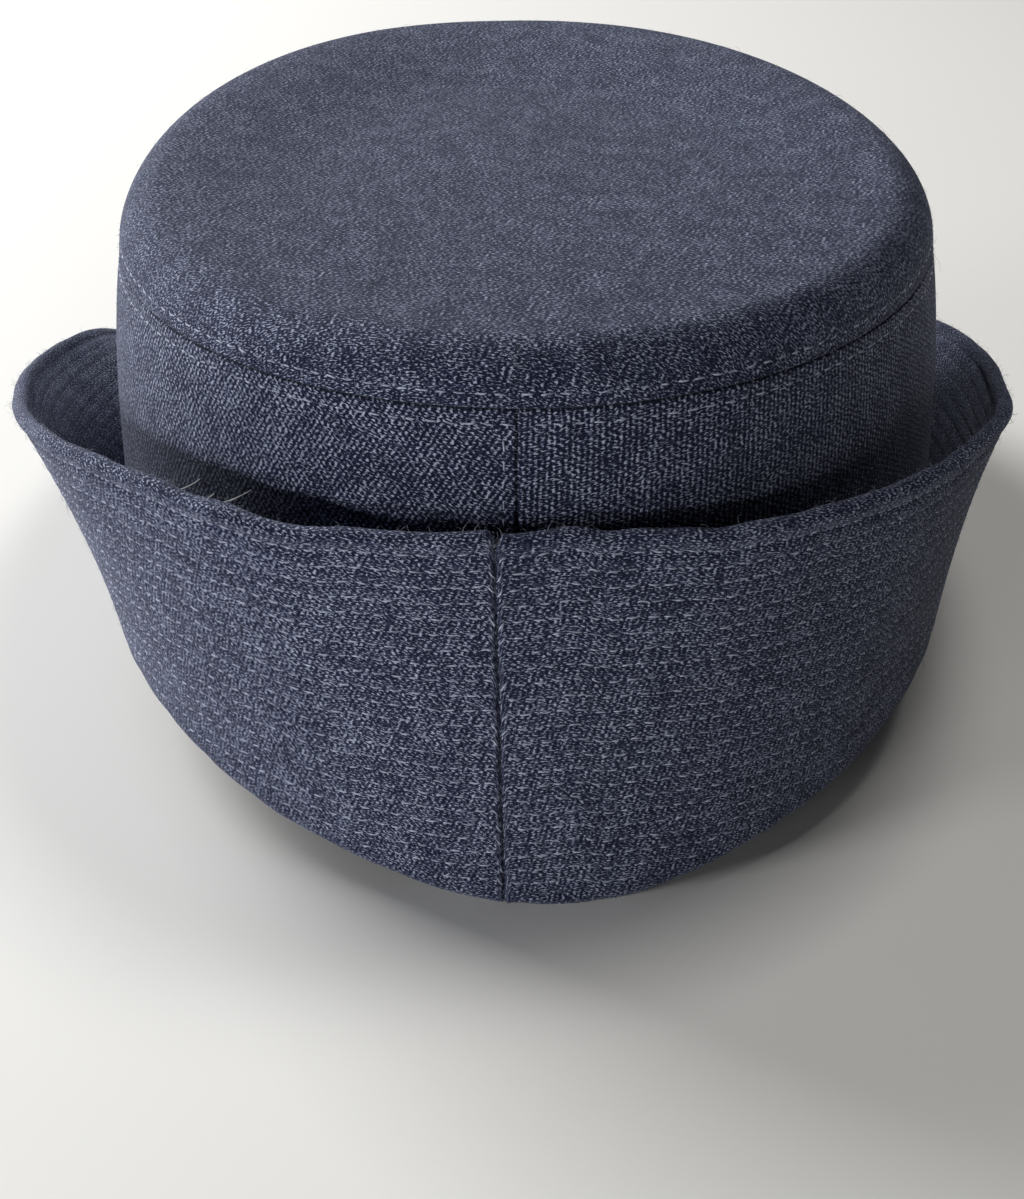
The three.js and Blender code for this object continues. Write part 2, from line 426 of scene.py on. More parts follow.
weave = bpy.data.node_groups.new("heather weave", "ShaderNodeTree")
socket(weave, "Cloth", "NodeSocketVector", "INPUT")
for name, value in WEAVE_INPUTS.items():
    socket(weave, name, "NodeSocketFloat", "INPUT", value)
socket(weave, "Height", "NodeSocketFloat", "OUTPUT")
given = weave.nodes.new("NodeGroupInput").outputs
sway = noise_2d(weave, given["Cloth"], SWAY_SCALE, SWAY_DETAIL)
centred = vector_math(weave, "SUBTRACT", sway.outputs["Color"], _1=(0.5, 0.5, 0.5))
pushed = vector_math(weave, "SCALE", centred.outputs[0], Scale=given["Wander"])
place = vector_math(weave, "ADD", given["Cloth"], _1=pushed.outputs[0]).outputs[0]
turns = []
for angle in np.radians(WAVE_DEGREES):
    dot = vector_math(weave, "DOT_PRODUCT", place, _1=(math.cos(angle), math.sin(angle), 0))
    turns.append(calc(weave, "DIVIDE", dot.outputs["Value"], given["Repeat"]))
waves = [calc(weave, "COSINE", calc(weave, "MULTIPLY", turn, math.tau)) for turn in turns]
crossed = calc(weave, "MULTIPLY_ADD", waves[1], SECOND_WAVE, waves[0])
field = calc(weave, "MULTIPLY", crossed, given["Ribs"])
cell = node(weave, "ShaderNodeCombineXYZ", None, X=calc(weave, "ROUND", turns[0]),
            Y=calc(weave, "ROUND", turns[1]))
lot = node(weave, "ShaderNodeTexWhiteNoise", {"noise_dimensions": "2D"}, Vector=cell.outputs[0])
lengthwise = node(weave, "ShaderNodeMapping", {"vector_type": "TEXTURE"}, Vector=given["Cloth"],
                  Rotation=(0, 0, math.radians(FIBRE_DEGREES)), Scale=FIBRE_SIZE)
streaks = noise_2d(weave, lengthwise.outputs[0], 1.0)
patches = noise_2d(weave, given["Cloth"], PATCH_SCALE)
streaky = lifted(weave, field, streaks.outputs[0], given["Fuzz"])
uneven_floats = lifted(weave, streaky, lot.outputs["Value"], FLOAT_LIFT)
mottled = lifted(weave, uneven_floats, patches.outputs[0], PATCH_LIFT)
plug(weave, weave.nodes.new("NodeGroupOutput"), Height=span(weave, mottled, LOWEST, HIGHEST))
print("weave group has", len(weave.nodes), "nodes")

# %% [markdown]
# The heather colour. Navy wool was spun with some pale grey fibres, so no float is quite like the next.
# A second group mixes three colours: the dark of the gaps, the blue of most yarn and the grey of the
# palest floats. A Color Ramp could do that too, but named inputs let each material bring its own colours.
# The near-black of the gaps is partly the navy's own dark and partly painted shade between the floats.
# The group also paints shade into seams: there the gaps go dark first, and the highest floats stay
# lightest.

# %% Mix the heather colours in a node group
GAP_TO_YARN, YARN_TO_PALE = (0.0, 0.55), (0.5, 1.0)
PAINTED_SHADE_HEIGHTS, PAINTED_SHADE_DARKNESS = (0.35, 0.95), (0.95, 0.25)


def mixed(tree, share, one, two):
    """Two colours mixed by a share."""
    return node(tree, "ShaderNodeMix", {"data_type": "RGBA"}, _0=share, _6=one, _7=two).outputs[2]


heather = bpy.data.node_groups.new("heather colour", "ShaderNodeTree")
for name, value in (("Height", 0.5), ("Crease", 0.0)):
    socket(heather, name, "NodeSocketFloat", "INPUT", value)
for name in ("Gap", "Yarn", "Pale"):
    socket(heather, name, "NodeSocketColor", "INPUT")
socket(heather, "Color", "NodeSocketColor", "OUTPUT")
given = heather.nodes.new("NodeGroupInput").outputs
body = mixed(heather, span(heather, given["Height"], *GAP_TO_YARN), given["Gap"], given["Yarn"])
pale = mixed(heather, span(heather, given["Height"], *YARN_TO_PALE), body, given["Pale"])
# Painted shade: in a seam the colour is darkened towards the gaps' colour, least on the highest floats.
darkness = span(heather, given["Height"], *PAINTED_SHADE_HEIGHTS, *PAINTED_SHADE_DARKNESS)
shaded = mixed(heather, calc(heather, "MULTIPLY", given["Crease"], darkness), pale, given["Gap"])
plug(heather, heather.nodes.new("NodeGroupOutput"), Color=shaded)
print("heather group has", len(heather.nodes), "nodes")

# %% [markdown]
# The three cloth finishes. All pieces are the same wool. The band shows its ribs clearly, the top is cut
# another way and shows them least, and the brim is pressed and stitched flat, so its weave stands up
# less. Wool also catches light at grazing angles, which is what the shader's sheen is for.

# %% Make the cloth materials
# The gaps' near-black is partly the navy's own dark and partly painted shade between the floats.
GAP_COLOUR = (0.0032, 0.0050, 0.0215, 1)
YARN_COLOUR = (0.041, 0.052, 0.113, 1)
PALE_COLOUR = (0.39, 0.42, 0.545, 1)
YARN_HEIGHT = 0.25
WOOL = {
    "Roughness": 0.9,
    "Specular_IOR_Level": 0.2,
    "Sheen_Weight": 0.2,
    "Sheen_Roughness": 0.45,
    "Sheen_Tint": (0.67, 0.72, 0.92, 1),
}


def cloth_material(name, ribs, relief):
    """Wool cloth. ribs is how clearly its diagonal ribs show, relief how far they stand up."""
    material, tree, shader = new_material(name)
    flat = node(tree, "ShaderNodeUVMap", {"uv_map": "cloth"})
    # The attribute read here is the painted shade of the seams.
    crease = node(tree, "ShaderNodeAttribute", {"attribute_name": "crease"})
    threads = node(tree, "ShaderNodeGroup", {"node_tree": weave}, Cloth=flat.outputs[0], Ribs=ribs)
    height = threads.outputs["Height"]
    colour = node(tree, "ShaderNodeGroup", {"node_tree": heather}, Height=height,
                  Crease=crease.outputs["Fac"], Gap=GAP_COLOUR, Yarn=YARN_COLOUR, Pale=PALE_COLOUR)
    bump = node(tree, "ShaderNodeBump", None, Strength=relief, Distance=YARN_HEIGHT * MM, Height=height)
    plug(tree, shader, Base_Color=colour.outputs["Color"], Normal=bump.outputs[0], **WOOL)
    return material


top_cloth = cloth_material("top cloth", ribs=0.3, relief=0.75)
band_cloth = cloth_material("band cloth", ribs=1.0, relief=0.85)
brim_cloth = cloth_material("brim cloth", ribs=0.55, relief=0.65)
print("materials", [m.name for m in (top_cloth, band_cloth, brim_cloth)])

# %% [markdown]
# The top piece. It is one oval cut, eased over a rounded shoulder down to the seam, with a shallow dish
# inside. The cloth rolls in at the seam, and a row of stitching just above it makes a slight furrow.
# Rings from the rim to the middle follow from a few sizes, where a box would need much sculpting.

# %% Work out the rings of the top piece
CROWN_SEAM_DEGREES = 5.1
BACK_RISE, FRONT_RISE, MIDDLE_RISE = 9.5, 14.5, 10.2
BACK_INSET, FRONT_INSET = 8.5, 11.0
FRONT_FROM, FRONT_TO = 40.0, 160.0
UNEVEN_RISE = 1.8
DISH_SHARE, CALM_RIM = 0.5, 4
SEAM_ROLL, SEAM_ROLL_DEGREES, SEAM_CLOSE = 0.32, 75, 0.02
STITCH_FROM_SEAM = 2.3
FURROW_DEPTH, FURROW_WIDTH = 0.15, 0.6
ROLL_RINGS, SHOULDER_CROWDING = 6, 1.25
CROSSED_WAVE, SLANTING_WAVE = 0.35, 0.25
WAVE_ACROSS, WAVE_ALONG, WAVE_ASLANT = 19, 26, 15
ACROSS_START, ASLANT_START = 0.6, 2.0
top_foot = top_low[2] - SEAM_CLOSE


def furrow(distance, depth=FURROW_DEPTH):
    """How far a row of stitching pulls in the cloth beside it."""
    return depth * np.exp(-(distance / FURROW_WIDTH) ** 2)


def eased(share):
    """A share from 0 to 1 with soft ends."""
    share = np.clip(share, 0, 1)
    return share ** 2 * (3 - 2 * share)


def from_back(degrees):
    """Angles from the middle of the back, alike on both sides."""
    return np.abs((np.asarray(degrees) + 180) % 360 - 180)


def tip_wave(points):
    """The top piece isn't quite even: broad soft waves, in millimetres of height."""
    x, y = points[..., 0], points[..., 1]
    crossed = np.sin(x / WAVE_ACROSS + ACROSS_START) * np.cos(y / WAVE_ALONG)
    return CROSSED_WAVE * crossed + SLANTING_WAVE * np.sin((x + y) / WAVE_ASLANT + ASLANT_START)


def top_rings(degrees, depth, shoulder_rings, dish_rings):
    """Rings from the rim to near the middle, at a depth under the upper face, which alone has the roll."""
    upper = depth == 0
    to_front = eased((from_back(degrees) - FRONT_FROM) / (FRONT_TO - FRONT_FROM))
    uneven = UNEVEN_RISE * np.maximum(np.sin(np.radians(degrees)), 0)
    rim_rise = BACK_RISE + (FRONT_RISE - BACK_RISE + uneven) * to_front
    rim_inset = BACK_INSET + (FRONT_INSET - BACK_INSET) * to_front
    rings = []
    for turn in np.radians(np.linspace(0, SEAM_ROLL_DEGREES, ROLL_RINGS if upper else 0)):
        height = top_foot + SEAM_ROLL * (1 - np.cos(turn))
        rings.append(crown_point(degrees, -SEAM_ROLL * (1 - np.sin(turn)), height))
    first = math.asin(SEAM_ROLL / BACK_RISE) if upper else 0.0
    for share in np.linspace(0, 1, shoulder_rings) ** SHOULDER_CROWDING:
        turn = first + (math.pi / 2 - first) * share
        rise = (rim_rise - depth) * math.sin(turn)
        inset = depth + (rim_inset - depth) * (1 - math.cos(turn))
        inset = inset + furrow(rise - STITCH_FROM_SEAM) * upper
        rings.append(crown_point(degrees, -inset, top_foot + rise))
    for scale in np.linspace(1, 0, dish_rings)[1:-1]:
        rise = rim_rise + (MIDDLE_RISE - rim_rise) * eased((1 - scale) / DISH_SHARE)
        ring = crown_point(degrees, -rim_inset, top_foot + rise - depth, scale)
        ring[:, 2] += tip_wave(ring) * (1 - scale ** CALM_RIM)
        rings.append(ring)
    return np.stack(rings)


print("the top's foot is at", top_foot.round(1), "mm")

# %% [markdown]
# The flat cut of the top. On a round cut a point lies at its distance from the middle, measured over the
# cloth, in its own direction. Blender can unwrap a mesh by itself, but worked out like this the scale and
# the direction of the weave are known. The cut is turned a little, as it needn't lie straight on the
# cloth.

# %% Make the crown's top piece
CROWN_COLUMNS = 300
CLOTH_THICKNESS = 2.0
OUTSIDE_RINGS, INSIDE_RINGS = (30, 26), (12, 12)
TOP_GRAIN_DEGREES = 12


def turned_cut(flat, degrees):
    """Flat coordinates, turned by an angle."""
    c, s = math.cos(math.radians(degrees)), math.sin(math.radians(degrees))
    return flat @ np.array([[c, s], [-s, c]])


def radial_cut(rings):
    """Flat coordinates of a round cut."""
    middle = rings[-1, :, :2].mean(0)
    steps = np.linalg.norm(np.diff(rings[::-1], axis=0), axis=2)
    first = np.linalg.norm(rings[-1, :, :2] - middle, axis=1)
    reach = np.concatenate([first[None], first + np.cumsum(steps, 0)])[::-1]
    flat = -unit(rings[..., :2] - middle) * reach[..., None]
    return turned_cut(np.concatenate([flat, flat[:, :1]], 1), TOP_GRAIN_DEGREES)


crown_degrees = columns(CROWN_SEAM_DEGREES, CROWN_COLUMNS)
top_outside = top_rings(crown_degrees, 0, *OUTSIDE_RINGS)
top_inside = top_rings(crown_degrees, CLOTH_THICKNESS, *INSIDE_RINGS)
# Painted shade along the seam at the top's foot, uneven along it.
seam_shade = in_seam(top_outside[..., 2] - top_foot) * uneven_painted_shade(len(crown_degrees))
crown_top = cloth_piece(
    "crown_top_cloth",
    top_cloth,
    np.concatenate([top_inside[::-1], top_outside]),
    np.concatenate([radial_cut(top_inside)[::-1], radial_cut(top_outside)]),
    np.concatenate([0 * top_inside[..., 2], seam_shade]),
    poles=[top_inside[-1].mean(0), top_outside[-1].mean(0)],
)
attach(crown_top, "root")
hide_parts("crown_top")

# %% [markdown]
# The brim's sections. In section the brim leaves the crown level, bends round a tight fold and goes on
# as a wall: upright behind, leaning out at the sides, and falling as a peak in front. A lattice could
# bend a flat ring into this, but a table can be matched to the real brim one angle at a time. It holds a
# section every thirty degrees from back to front, and a smooth curve joins them. The table comes before
# the band, because the band stands on the brim's root.

# %% Set the brim's sections
BRIM_THICKNESS = 2.6
SECTION_STEP = 30
BRIM_SECTIONS = {
    "root": [-0.8, 7, 15, 16, 17, 18, 19],
    "wall": [72, 63.5, 52, 40.5, 37.5, 50, 53],
    "fold_lean": [90, 85, 84.5, 75.5, 43.5, -3, -17],
    "edge_lean": [88.5, 82.5, 75, 60.5, 28, -14, -27],
}


def brim_size(name, degrees):
    """A size of the brim's section at any angles, on a smooth curve, alike on both sides."""
    rows = np.array(BRIM_SECTIONS[name], float)
    last = len(rows) - 1
    place = from_back(degrees) / SECTION_STEP
    row = np.minimum(place.astype(int), last - 1)
    f = place - row
    a, b, c, d = (rows[last - np.abs(last - np.abs(row + step))] for step in (-1, 0, 1, 2))
    # A cubic through all rows of the table: b and c are the rows on both sides, a and d those beyond.
    return b + ((c - a) * f + (2 * a - 5 * b + 4 * c - d) * f ** 2 + (3 * b - a - 3 * c + d) * f ** 3) / 2


def band_foot(degrees):
    """The height at which the band starts."""
    return np.maximum(brim_size("root", degrees) - BRIM_THICKNESS / 2, 0)


print("the band's foot is at", band_foot(np.array([0, 45, 90, 180])).round(1).tolist(), "mm")

# %% [markdown]
# The side band. It is one strip with its two ends sewn together behind. It was cut slightly curved, so
# its grain turns by about thirty degrees from end to end, and the weave stands straight on one side of
# the seam and slants on the other. Unrolled straight, the cloth would look alike on both sides of the
# seam, so the flat coordinates are laid out as part of a ring.

# %% Make the crown's side band
BAND_TURN_DEGREES = 31.0
SIDE_FULLNESS = 4
FOOT_ROUND = 0.7
FOOT_TURNS, EDGE_TURNS = (90, 45, 0), (25, 50, 75, 90)
WALL_RINGS, WALL_CROWDING, INNER_RINGS = 51, 1.6, 14

side_top = side_high[2] + SEAM_CLOSE
side_row = side_top - STITCH_FROM_SEAM
side_foot = band_foot(crown_degrees)


def band_point(degrees, height, inset=0.0):
    """Points of the band, at a distance inside its outer face."""
    foot = band_foot(degrees)
    share = (height - foot) / (side_top - foot)
    return crown_point(degrees, side_spread * (1 - share ** SIDE_FULLNESS) - inset, height)


def curved_cut(along, across, turn_degrees):
    """Flat coordinates of a strip that was cut as part of a ring."""
    radius = along.max() / math.radians(turn_degrees)
    turn = (along.max() / 2 - along) / radius
    return np.stack([(radius - across) * np.sin(turn), -(radius - across) * np.cos(turn)], -1)


def side_rings(dip):
    """Rings up the outer face, over the rolled top edge and down the inner face, dipping at the seam."""
    rings = []
    for turn in np.radians(FOOT_TURNS):
        height = side_foot + FOOT_ROUND * (1 - np.sin(turn))
        rings.append(band_point(crown_degrees, height, FOOT_ROUND * (1 - np.cos(turn))))
    wall_top = side_top - SEAM_ROLL
    for share in 1 - np.linspace(1, 0, WALL_RINGS + 1)[1:] ** WALL_CROWDING:
        height = side_foot + FOOT_ROUND + (wall_top - side_foot - FOOT_ROUND) * share
        rings.append(band_point(crown_degrees, height, dip + furrow(side_row - height)))
    for turn in np.radians(EDGE_TURNS):
        inset = SEAM_ROLL * (1 - np.cos(turn)) + dip * np.cos(turn)
        rings.append(band_point(crown_degrees, wall_top + SEAM_ROLL * np.sin(turn), inset))
    for share in np.linspace(1, 0, INNER_RINGS):
        height = side_foot + (side_top - side_foot) * share
        rings.append(band_point(crown_degrees, height, CLOTH_THICKNESS))
    return np.stack(rings)


side_along = lengths_round(band_point(crown_degrees, (side_foot + side_top) / 2))
side_from_seam = seam_distance(side_along)
side_grid = side_rings(seam_dip(side_from_seam))
# Painted shade in the band's back seam and along its top edge.
back_shade = in_seam(side_from_seam) * uneven_painted_shade(len(side_grid))[:, None]
top_shade = in_seam(side_grid[..., 2] - side_top) * uneven_painted_shade(len(crown_degrees))
rise = np.concatenate([side_grid[..., 2], side_grid[:, :1, 2]], 1)
side_flat = curved_cut(side_along + 0 * rise, rise, BAND_TURN_DEGREES)
side_shade = np.maximum(back_shade, top_shade)
crown_side = cloth_piece("crown_side_cloth", band_cloth, side_grid, side_flat, side_shade)
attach(crown_side, "root")
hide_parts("crown_side")

# %% [markdown]
# The brim's middle line. The brim is followed through the middle of its cloth: a short run from its
# root, tucked against the band so that no light shows through, then the fold, then the wall. Going step
# by step keeps the cloth's length right however it bends, where moving points about would stretch it.
# The brim's two sides differ a little, its edge is slightly lumpy behind, and at the seam the edge has a
# small notch.

# %% Work out the brim's section lines
BRIM_SEAM_DEGREES = 6.9
BRIM_GAP, ROOT_TUCK, ROOT_RUN, FOLD_RADIUS = 0.3, 0.15, 0.9, 2.4
UNEVEN_WALL, UNEVEN_LEAN = 0.06, 1.2
FOLD_STEPS, WALL_STEPS, BRIM_COLUMNS = 10, 96, 340
FIRST_WALL = 1 + FOLD_STEPS
NOTCH_DEPTH, NOTCH_HALF_WIDTH, NOTCH_SHARPNESS = 2.4, 1.2, 1.5
EDGE_LUMP, LUMP_SPACING, CALM_LUMP = 0.42, 4.5, 0.2

brim_degrees = columns(BRIM_SEAM_DEGREES, BRIM_COLUMNS)
around_fold = lengths_round(oval(brim_degrees, side_spread + FOLD_RADIUS + ROOT_RUN)[0])
from_seam = seam_distance(around_fold)
to_left = np.sin(np.radians(brim_degrees))


def lumps(size):
    """A small random unevenness along the edge, which dies down towards the front."""
    places = np.arange(0, around_fold[-1], LUMP_SPACING)
    rough = np.interp(around_fold[:-1], places, chance.normal(0, size, len(places)))
    smooth = (np.roll(rough, 1) + 2 * rough + np.roll(rough, -1)) / 4
    return smooth * np.clip(np.cos(np.radians(brim_degrees)), CALM_LUMP, 1)


def brim_line():
    """The brim's middle line at every column: distance out, height and slope at each step."""
    fold_lean, edge_lean = (np.radians(brim_size(name, brim_degrees) - UNEVEN_LEAN * to_left)
                            for name in ("fold_lean", "edge_lean"))
    fold_share = np.linspace(0, 1, FOLD_STEPS + 1)[:, None]
    wall_share = np.linspace(0, 1, WALL_STEPS + 1)[1:, None]
    wall_slope = fold_lean + (edge_lean - fold_lean) * wall_share
    slope = np.concatenate([0 * fold_lean[None], fold_lean * fold_share, wall_slope])
    steps = np.concatenate([
        np.full((1, len(brim_degrees)), ROOT_TUCK + BRIM_GAP + ROOT_RUN),
        np.repeat(FOLD_RADIUS * np.abs(fold_lean)[None] / FOLD_STEPS, FOLD_STEPS, 0),
        np.repeat(brim_wall[None] / WALL_STEPS, WALL_STEPS, 0),
    ])
    middle = (slope[1:] + slope[:-1]) / 2
    out = np.cumsum(np.concatenate([0 * steps[:1] - ROOT_TUCK, steps * np.cos(middle)]), 0)
    root = brim_size("root", brim_degrees)[None]
    height = np.cumsum(np.concatenate([root, steps * np.sin(middle)]), 0)
    return out, np.maximum(height, BRIM_THICKNESS / 2 * np.cos(slope)), slope


brim_wall = brim_size("wall", brim_degrees) * (1 + UNEVEN_WALL * to_left)
brim_wall -= NOTCH_DEPTH * np.maximum(1 - from_seam / NOTCH_HALF_WIDTH, 0) ** NOTCH_SHARPNESS
brim_wall += lumps(EDGE_LUMP)
brim_out, brim_height, brim_slope = brim_line()
from_edge = np.concatenate([np.repeat(brim_wall[None], FIRST_WALL, 0),
                            brim_wall * (1 - np.linspace(0, 1, WALL_STEPS + 1))[:, None]])
print("brim wall", brim_wall.min().round(1), "to", brim_wall.max().round(1), "mm")

# %% [markdown]
# Faces of the brim. The wall is a sandwich of cloth with rows of stitching three millimetres apart. Each
# row draws the layers together, and the lip above the last row stands full. Each face lies half the
# thickness to one side of the middle line, so quilting, waves and seam leave the wall in its place.

# %% Work out the brim's faces and edge
ROW_SPACING, FIRST_ROW = 3.0, 2.4
QUILT_DEPTH, LIP_FURROW, LIP_SWELL = 0.16, 0.24, 0.32
EDGE_ROUND, EDGE_RINGS, EDGE_DEGREES = 1.0, 7, 67.5
BRIM_WAVES = [(0.45, 5, 0.8, 0), (0.3, 9, 0, 4), (0.2, 14, 0, 0)]
base, outward = oval(brim_degrees, side_spread)


def brim_point(out, height, slope, aside, beyond=0.0):
    """Points beside the middle line: aside is towards the outer face, beyond is past the edge."""
    away = out + np.sin(slope) * aside + np.cos(slope) * beyond
    points = base + outward * away[..., None]
    points[..., 2] = np.maximum(height - np.cos(slope) * aside + np.sin(slope) * beyond, 0)
    return points


def quilted():
    """Half the wall's thickness: drawn in at each row and at the seam, full at the lip."""
    off_row = (from_edge - FIRST_ROW + ROW_SPACING / 2) % ROW_SPACING - ROW_SPACING / 2
    drawn = furrow(off_row, QUILT_DEPTH) + furrow(from_edge - FIRST_ROW, LIP_FURROW)
    lip_share = np.clip(1 - from_edge / FIRST_ROW, 0, 1)
    swell = (LIP_SWELL + lumps(EDGE_LUMP / 2)) * lip_share
    return BRIM_THICKNESS / 2 - drawn + swell - seam_dip(from_seam)


def brim_wave():
    """Soft unevenness of the wall, growing from the fold to the edge."""
    turn = np.radians(brim_degrees)
    share = np.clip(1 - from_edge / brim_wall, 0, 1)
    return share * sum(size * np.sin(count * turn + start + twist * share)
                       for size, count, start, twist in BRIM_WAVES)


half_wall, wave = quilted(), brim_wave()
brim_outside = brim_point(brim_out, brim_height, brim_slope, wave + half_wall)
brim_inside = brim_point(brim_out, brim_height, brim_slope, wave - half_wall)
edge_turns = np.radians(np.linspace(EDGE_DEGREES, -EDGE_DEGREES, EDGE_RINGS))[:, None]
brim_edge = brim_point(brim_out[-1:], brim_height[-1:], brim_slope[-1:],
                       wave[-1:] + half_wall[-1:] * np.sin(edge_turns), EDGE_ROUND * np.cos(edge_turns))
print("brim edge", brim_edge[..., 2].min().round(1), "to", brim_edge[..., 2].max().round(1), "mm high")

# %% [markdown]
# The brim as one piece. Its two faces and the rounded edge between them make one closed mesh, because
# separate pieces could show a crack along the lip. Its flat cut is a ring, measured along the outer face
# half-way up the wall, and across from the edge.

# %% Make the brim
BRIM_TURN_DEGREES, BRIM_GRAIN_DEGREES = 11.5, 5

brim_grid = np.concatenate([brim_outside, brim_edge, brim_inside[::-1]])
half_way = lengths_round(brim_outside[FIRST_WALL + WALL_STEPS // 2])
section = np.linalg.norm(np.diff(brim_grid, axis=0), axis=2)
across = np.concatenate([0 * section[:1], np.cumsum(section, 0)])
across -= across[len(brim_outside) + EDGE_RINGS // 2]
across = np.concatenate([across, across[:, :1]], 1)
brim_flat = turned_cut(curved_cut(half_way + 0 * across, across, BRIM_TURN_DEGREES), BRIM_GRAIN_DEGREES)
# Painted shade in the brim's back seam.
seam_shade = in_seam(from_seam) * uneven_painted_shade(len(brim_grid))[:, None]
brim = cloth_piece("brim_cloth", brim_cloth, brim_grid, brim_flat, seam_shade)
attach(brim, "root")
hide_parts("brim")

# %% [markdown]
# Stitches. A machine stitch shows as a short length of thread that comes up through the cloth and goes
# down again. A texture could draw it, but modelled thread catches light and throws its own small shadow.
# A row is a line over a grid of points, and stitches are set along it by distance, so they stay even
# wherever the rows bend.

# %% Set stitches along lines
STITCH_PITCH, STITCH_LENGTH, THREAD_RADIUS = 3.1, 2.1, 0.16
SPINE_SHARES = np.array([0.0, 0.07, 0.34, 0.66, 0.93, 1.0])
FIRST_STITCH = (0.1, 0.9)
START_SPREAD, LENGTH_SPREAD, SINK_SPREAD = 0.06, 0.07, 0.05


def normals_of(grid):
    """Unit normals of a grid of points that closes on itself sideways."""
    down = np.gradient(grid, axis=0)
    sideways = np.roll(grid, -1, 1) - np.roll(grid, 1, 1)
    return unit(np.cross(sideways, down))


def outward_normals(grid):
    """Normals of a grid round the cap, pointing away from its middle."""
    normals = normals_of(grid)
    half = len(grid) // 2
    return normals * np.sign((normals[half, :, :2] * grid[half, :, :2]).sum())


def line_over(grid, normals, rows, picked):
    """Points and normals where a line crosses the picked columns at fractional rows."""
    low = np.clip(np.floor(rows).astype(int), 0, len(grid) - 2)
    f = (rows - low)[:, None]
    return tuple(g[low, picked] * (1 - f) + g[low + 1, picked] * f for g in (grid, normals))


def points_at(at, places, points):
    """Points read off between the given ones, which belong to rising places."""
    return np.stack([np.interp(at, places, points[:, k]) for k in range(3)], -1)


def stitches_on(line, sink=SINK_SPREAD):
    """Points and normals of stitches along a line. sink is how far they typically sit in the cloth."""
    points, normals = line
    along = lengths_along(points)
    first = STITCH_PITCH * chance.uniform(*FIRST_STITCH)
    starts = np.arange(first, along[-1] - STITCH_LENGTH, STITCH_PITCH)
    starts = starts + chance.normal(0, START_SPREAD * STITCH_PITCH, len(starts))
    lengths = STITCH_LENGTH * chance.normal(1, LENGTH_SPREAD, len(starts))
    at = starts[:, None] + lengths[:, None] * SPINE_SHARES
    sunk = sink * np.abs(chance.normal(0, 1, (len(starts), 1, 1)))
    away = points_at(at, along, normals)
    return points_at(at, along, points) - sunk * away, away


print("stitches are", STITCH_LENGTH, "mm long, one every", STITCH_PITCH, "mm")

# %% [markdown]
# Stitches as thread. Each stitch is a small closed tube, thicker in its middle than at its sunk ends. All
# stitches of one face are one mesh, built from arrays, as thousands of separate objects would be slow.

# %% Turn stitches into one mesh
SPINE_LIFTS = np.array([-0.9, -0.3, 0.55, 0.55, -0.3, -0.9])
RING_SIZES = np.array([0.72, 1.0, 1.0, 0.72])
TUBE_SIDES = 5
SLANT_SPREAD, BEND_SPREAD = 0.16, 0.5


def rings_about(spines, radii, one, two, sides):
    """Rings round the points of many lines, in the planes of two directions."""
    angles = np.arange(sides) * math.tau / sides
    turned = np.cos(angles)[:, None] * one[:, :, None] + np.sin(angles)[:, None] * two[:, :, None]
    rings = spines[:, :, None] + radii[..., None, None] * turned
    return rings.reshape(len(spines), -1, 3)


def copies(faces, count, step):
    """Faces of many like tubes, whose points follow each other in equal steps."""
    return (faces + (np.arange(count) * step)[:, None, None]).reshape(-1, faces.shape[1]).tolist()


def sew(name, lines, material):
    """One mesh of all the stitches on the given lines."""
    places, normals = (np.concatenate(part) for part in zip(*lines))
    count = len(places)
    normals = unit(normals)
    sideways = np.cross(unit(places[:, -1] - places[:, 0])[:, None], normals)
    share = SPINE_SHARES - 0.5
    slant = chance.normal(0, SLANT_SPREAD, (count, 1)) * share
    bend = chance.normal(0, BEND_SPREAD, (count, 1)) * share ** 2
    spine = places + normals * (SPINE_LIFTS * THREAD_RADIUS)[:, None]
    spine += sideways * (slant + bend)[..., None]
    radii = THREAD_RADIUS * RING_SIZES[None]
    rings = rings_about(spine[:, 1:-1], radii, normals[:, 1:-1], sideways[:, 1:-1], TUBE_SIDES)
    points = np.concatenate([rings, spine[:, :1], spine[:, -1:]], 1)
    each, last = points.shape[1], len(RING_SIZES) - 1
    walls = np.concatenate([strip_faces(r, r + 1, TUBE_SIDES) for r in range(last)])
    faces = copies(walls, count, each)
    for ring, tip, way in ((0, each - 2, -1), (last, each - 1, 1)):
        faces += copies(fan_faces(ring, TUBE_SIDES, tip, way), count, each)
    print(name, "has", count, "stitches")
    return new_piece(name, points, faces, material)


# %% [markdown]
# Sewing thread. It is a little paler and bluer than the cloth. A fine noise breaks up its colour so that
# no two stitches look alike. The thread that shows inside the brim is the bobbin's, and is darker.

# %% Make the thread materials
THREAD_NOISE, THREAD_CONTRAST = 900.0, (0.3, 0.7)
THREAD_ROUGHNESS, THREAD_SHEEN = 0.65, 0.2


def thread_material(name, dark, light):
    """A thread whose colour varies between a dark and a light one."""
    material, tree, shader = new_material(name)
    where = node(tree, "ShaderNodeTexCoord")
    cloudy = node(tree, "ShaderNodeTexNoise", None, Vector=where.outputs["Object"], Scale=THREAD_NOISE,
                  Detail=2.0)
    colour = mixed(tree, span(tree, cloudy.outputs[0], *THREAD_CONTRAST), dark, light)
    plug(tree, shader, Base_Color=colour, Roughness=THREAD_ROUGHNESS, Sheen_Weight=THREAD_SHEEN)
    return material


sewing_thread = thread_material("sewing thread", (0.16, 0.18, 0.26, 1), (0.46, 0.49, 0.62, 1))
bobbin_thread = thread_material("bobbin thread", (0.10, 0.115, 0.17, 1), (0.30, 0.33, 0.43, 1))
print("threads", sewing_thread.name, "and", bobbin_thread.name)

